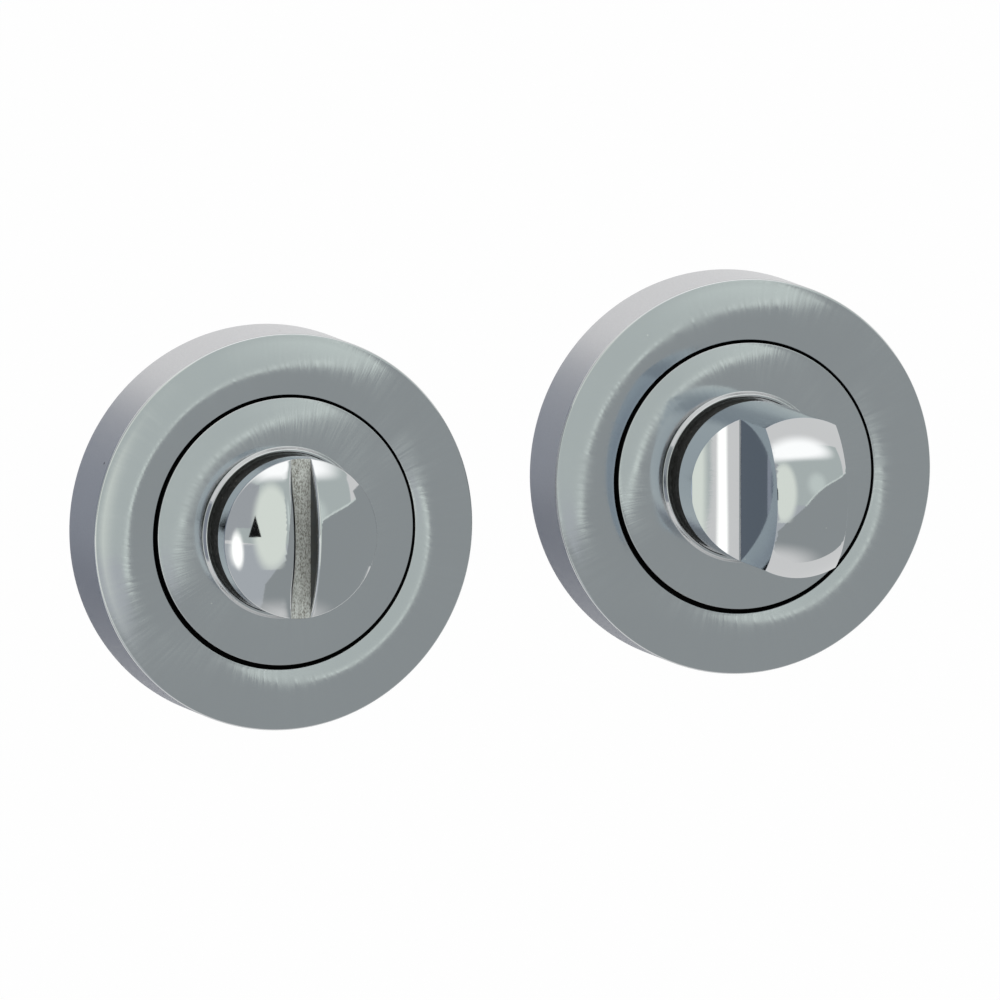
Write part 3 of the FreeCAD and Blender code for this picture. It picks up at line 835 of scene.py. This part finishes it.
for side, bend in ((-1, left_lip_round), (1, right_lip_round)):
    select_spots(release_head, lambda across, out: (
        out > slot_floor - tiny and abs(across - side * (slot_half + bend)) < tiny))
    roll_lip(side, bend)
    bpy.ops.mesh.extrude_region_move(TRANSFORM_OT_translate={"value": (0, 0, 0)})
    bpy.ops.transform.resize(value=(1, 0, 1), center_override=(RELEASE.x, -slot_floor * MM, RELEASE.z))
bpy.ops.mesh.select_all(action="SELECT")
bpy.ops.mesh.remove_doubles(threshold=slot_weld)
# the floor closes the hole between the two walls and the two short arcs of the rim
bpy.ops.mesh.select_all(action="DESELECT")
bpy.ops.mesh.select_non_manifold(extend=False)
bpy.ops.mesh.edge_face_add()
bpy.ops.mesh.select_all(action="SELECT")
bpy.ops.mesh.normals_make_consistent(inside=False)
bpy.ops.object.mode_set(mode="OBJECT")
bpy.ops.object.select_all(action="DESELECT")
cutter_start = stem_end - 1
bpy.ops.mesh.primitive_cube_add(
    size=1, location=RELEASE - Vector((0, (socket_top + cutter_start) / 2 * MM, 0)),
    scale=(2 * socket_half * MM, (socket_top - cutter_start) * MM, 2 * socket_half * MM)
)
cutter = bpy.context.active_object
cut = release_head.modifiers.new("socket", "BOOLEAN")
cut.operation = "DIFFERENCE"
cut.solver = "EXACT"
cut.object = cutter
bpy.context.view_layer.objects.active = release_head
bpy.ops.object.modifier_apply(modifier=cut.name)
bpy.data.objects.remove(cutter)
bpy.ops.object.select_all(action="DESELECT")
release_head.select_set(True)
bpy.context.view_layer.objects.active = release_head
bpy.ops.object.shade_smooth_by_angle(angle=smooth_angle)
release_head.data.materials.append(knob_chrome("head_chrome", RELEASE, 0.03, 0.09))
# the head's turned side is painted darker blue: painted reflection
head_side = knob_chrome("head_side_chrome", RELEASE, 0.04, 0.1, painted_blue_reflection)
paint_where(release_head, head_side, lambda spot: (
    radius_of(spot, RELEASE) > knob_radius - 0.02 and -spot.y / MM < slot_floor))


def drawn_out(tree, add, shares):
    """The piece's own coordinates, for a grain drawn out along each way whose share is below one."""
    places = add("ShaderNodeTexCoord")
    drawn = add("ShaderNodeMapping")
    drawn.inputs["Scale"].default_value = shares
    tree.links.new(places.outputs["Object"], drawn.inputs["Vector"])
    return drawn.outputs[0]


# the slot's floor, as the cutter left it: pitted and scored, with grime in it
grime_colour = (0.2, 0.19, 0.165)
cut_colour = (0.6, 0.61, 0.58)
score_share = 0.6
bare_cut, tree, add, shader = new_paint("bare_cut", metallic=0.5)
pits = grain(tree, add, drawn_out(tree, add, (1, 1, 0.45)), 8200, 3)
lines = grain(tree, add, drawn_out(tree, add, (1, 1, 0.02)), 2400, 2)
worn = add("ShaderNodeMath", operation="MULTIPLY_ADD")
tree.links.new(lines, worn.inputs[0])
worn.inputs[1].default_value = score_share
tree.links.new(between_values(tree, add, pits, 0, 0.5, 0.35, 0.65), worn.inputs[2])
tinted(tree, add, shader, between_values(tree, add, worn.outputs[0], 0, 1, 0.25, 0.7),
       grime_colour, cut_colour)
shader.inputs["Roughness"].default_value = 0.5
relief(tree, add, shader, [(pits, 0.02)])
paint_where(release_head, bare_cut, lambda spot: (
    abs(-spot.y / MM - slot_floor) < tiny and abs(spot.x - RELEASE.x) / MM < slot_half))

# the slot's walls: plated, and painted dull and dark as painted shade for the shadow inside the slot
painted_slot_shade, tree, add, shader = new_paint("painted_slot_shade", metallic=0.7)
slot_shade_mottle = grain(tree, add, None, 700, 4)
tinted(tree, add, shader, between_values(tree, add, slot_shade_mottle, 0, 1), (0.045, 0.055, 0.07),
       (0.06, 0.058, 0.052))
shader.inputs["Roughness"].default_value = 0.38
relief(tree, add, shader, [(slot_shade_mottle, 0.01)])
# the slot's walls are painted dark: painted shade
paint_where(release_head, painted_slot_shade, lambda spot: (
    -spot.y / MM > slot_floor + tiny and abs(abs(spot.x - RELEASE.x) / MM - slot_half) < tiny))
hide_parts("release_turn")
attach(release_head, "release_turn")

# Bushes: moulded black nylon, pressed into the inner roses, with the fine spark-eroded texture of the
# mould. The flange shows as the black band under each knob.
black_nylon, tree, add, shader = new_paint("black_nylon")
mould = grain(tree, add, None, 2800, 3)
scuffs = specks(tree, add, 900, 0.12)
tinted(tree, add, shader, scuffs, (0.011, 0.011, 0.01), (0.11, 0.1, 0.09))
tree.links.new(between_values(tree, add, mould, 0.45, 0.75), shader.inputs["Roughness"])
shader.inputs["Specular IOR Level"].default_value = 0.16
relief(tree, add, shader, [(mould, 0.012)])


def coat(paint, names):
    """Gives CAD nodes their material."""
    for name in names:
        nodes[name].data.materials.clear()
        nodes[name].data.materials.append(paint)


coat(black_nylon, ("turn_bush", "release_bush"))

# Mounting plates: pressed steel, zinc plated, with a slightly cloudy, yellowish film. Each is bolted
# to the door and carries a rose and its cover ring.
zinc, tree, add, shader = new_paint("zinc_plate", metallic=1)
cloud = grain(tree, add, None, 350, 4)
tinted(tree, add, shader, between_values(tree, add, cloud, 0, 1), (0.5, 0.51, 0.5), (0.6, 0.58, 0.5))
tree.links.new(between_values(tree, add, cloud, 0.3, 0.45), shader.inputs["Roughness"])
spangle = grain(tree, add, None, 1500)
relief(tree, add, shader, [(spangle, 0.004)])
coat(zinc, ("turn_mounting_plate", "release_mounting_plate"))

# Washers: blanked from bright rolled steel. Each lies on the stem between the spring washer and the
# circlip, and turns with the stem.


def drawn_steel(name, plain, marked, rough, along, scale):
    """Steel with fine lines along one way, from drawing or rolling, and darker patches of oil."""
    rougher = 0.14
    paint, tree, add, shader = new_paint(name, metallic=1)
    lines = grain(tree, add, drawn_out(tree, add, along), scale, 3)
    oil = grain(tree, add, None, 260, 3)
    tinted(tree, add, shader, between_values(tree, add, oil, 0, 1), plain, marked)
    tree.links.new(between_values(tree, add, lines, rough, rough + rougher), shader.inputs["Roughness"])
    relief(tree, add, shader, [(lines, 0.005)])
    return paint


rolled = drawn_steel("washer_steel", (0.5, 0.5, 0.49), (0.4, 0.39, 0.37), 0.28, (0.1, 1, 1), 1800)
coat(rolled, ("turn_washer", "release_washer"))

# Spring washers, circlips and the pin: hardened strip and wire, phosphated dark grey and oiled. The
# spring washer takes up the play, the circlip sits in the stem's groove, and the pin holds the
# spindle in its socket.
phosphate = drawn_steel("spring_steel", (0.12, 0.115, 0.11), (0.055, 0.052, 0.05), 0.42, (1, 1, 1), 2600)
coat(phosphate, ("turn_spring_washer", "release_spring_washer", "turn_circlip", "release_circlip",
                 "spindle_pin"))

# Spindle: square steel bar, drawn through a die, so that its lines run along it and its edges are
# softly rounded. The pin holds it in the thumb turn's socket.
bar_edge_round = 0.18 * MM
bar = softened("square_bar", "spindle", bar_edge_round)
bar.data.materials.append(
    drawn_steel("spindle_steel", (0.46, 0.46, 0.45), (0.36, 0.35, 0.33), 0.26, (1, 0.03, 1), 2200))
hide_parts("spindle")
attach(bar, "thumb_turn")
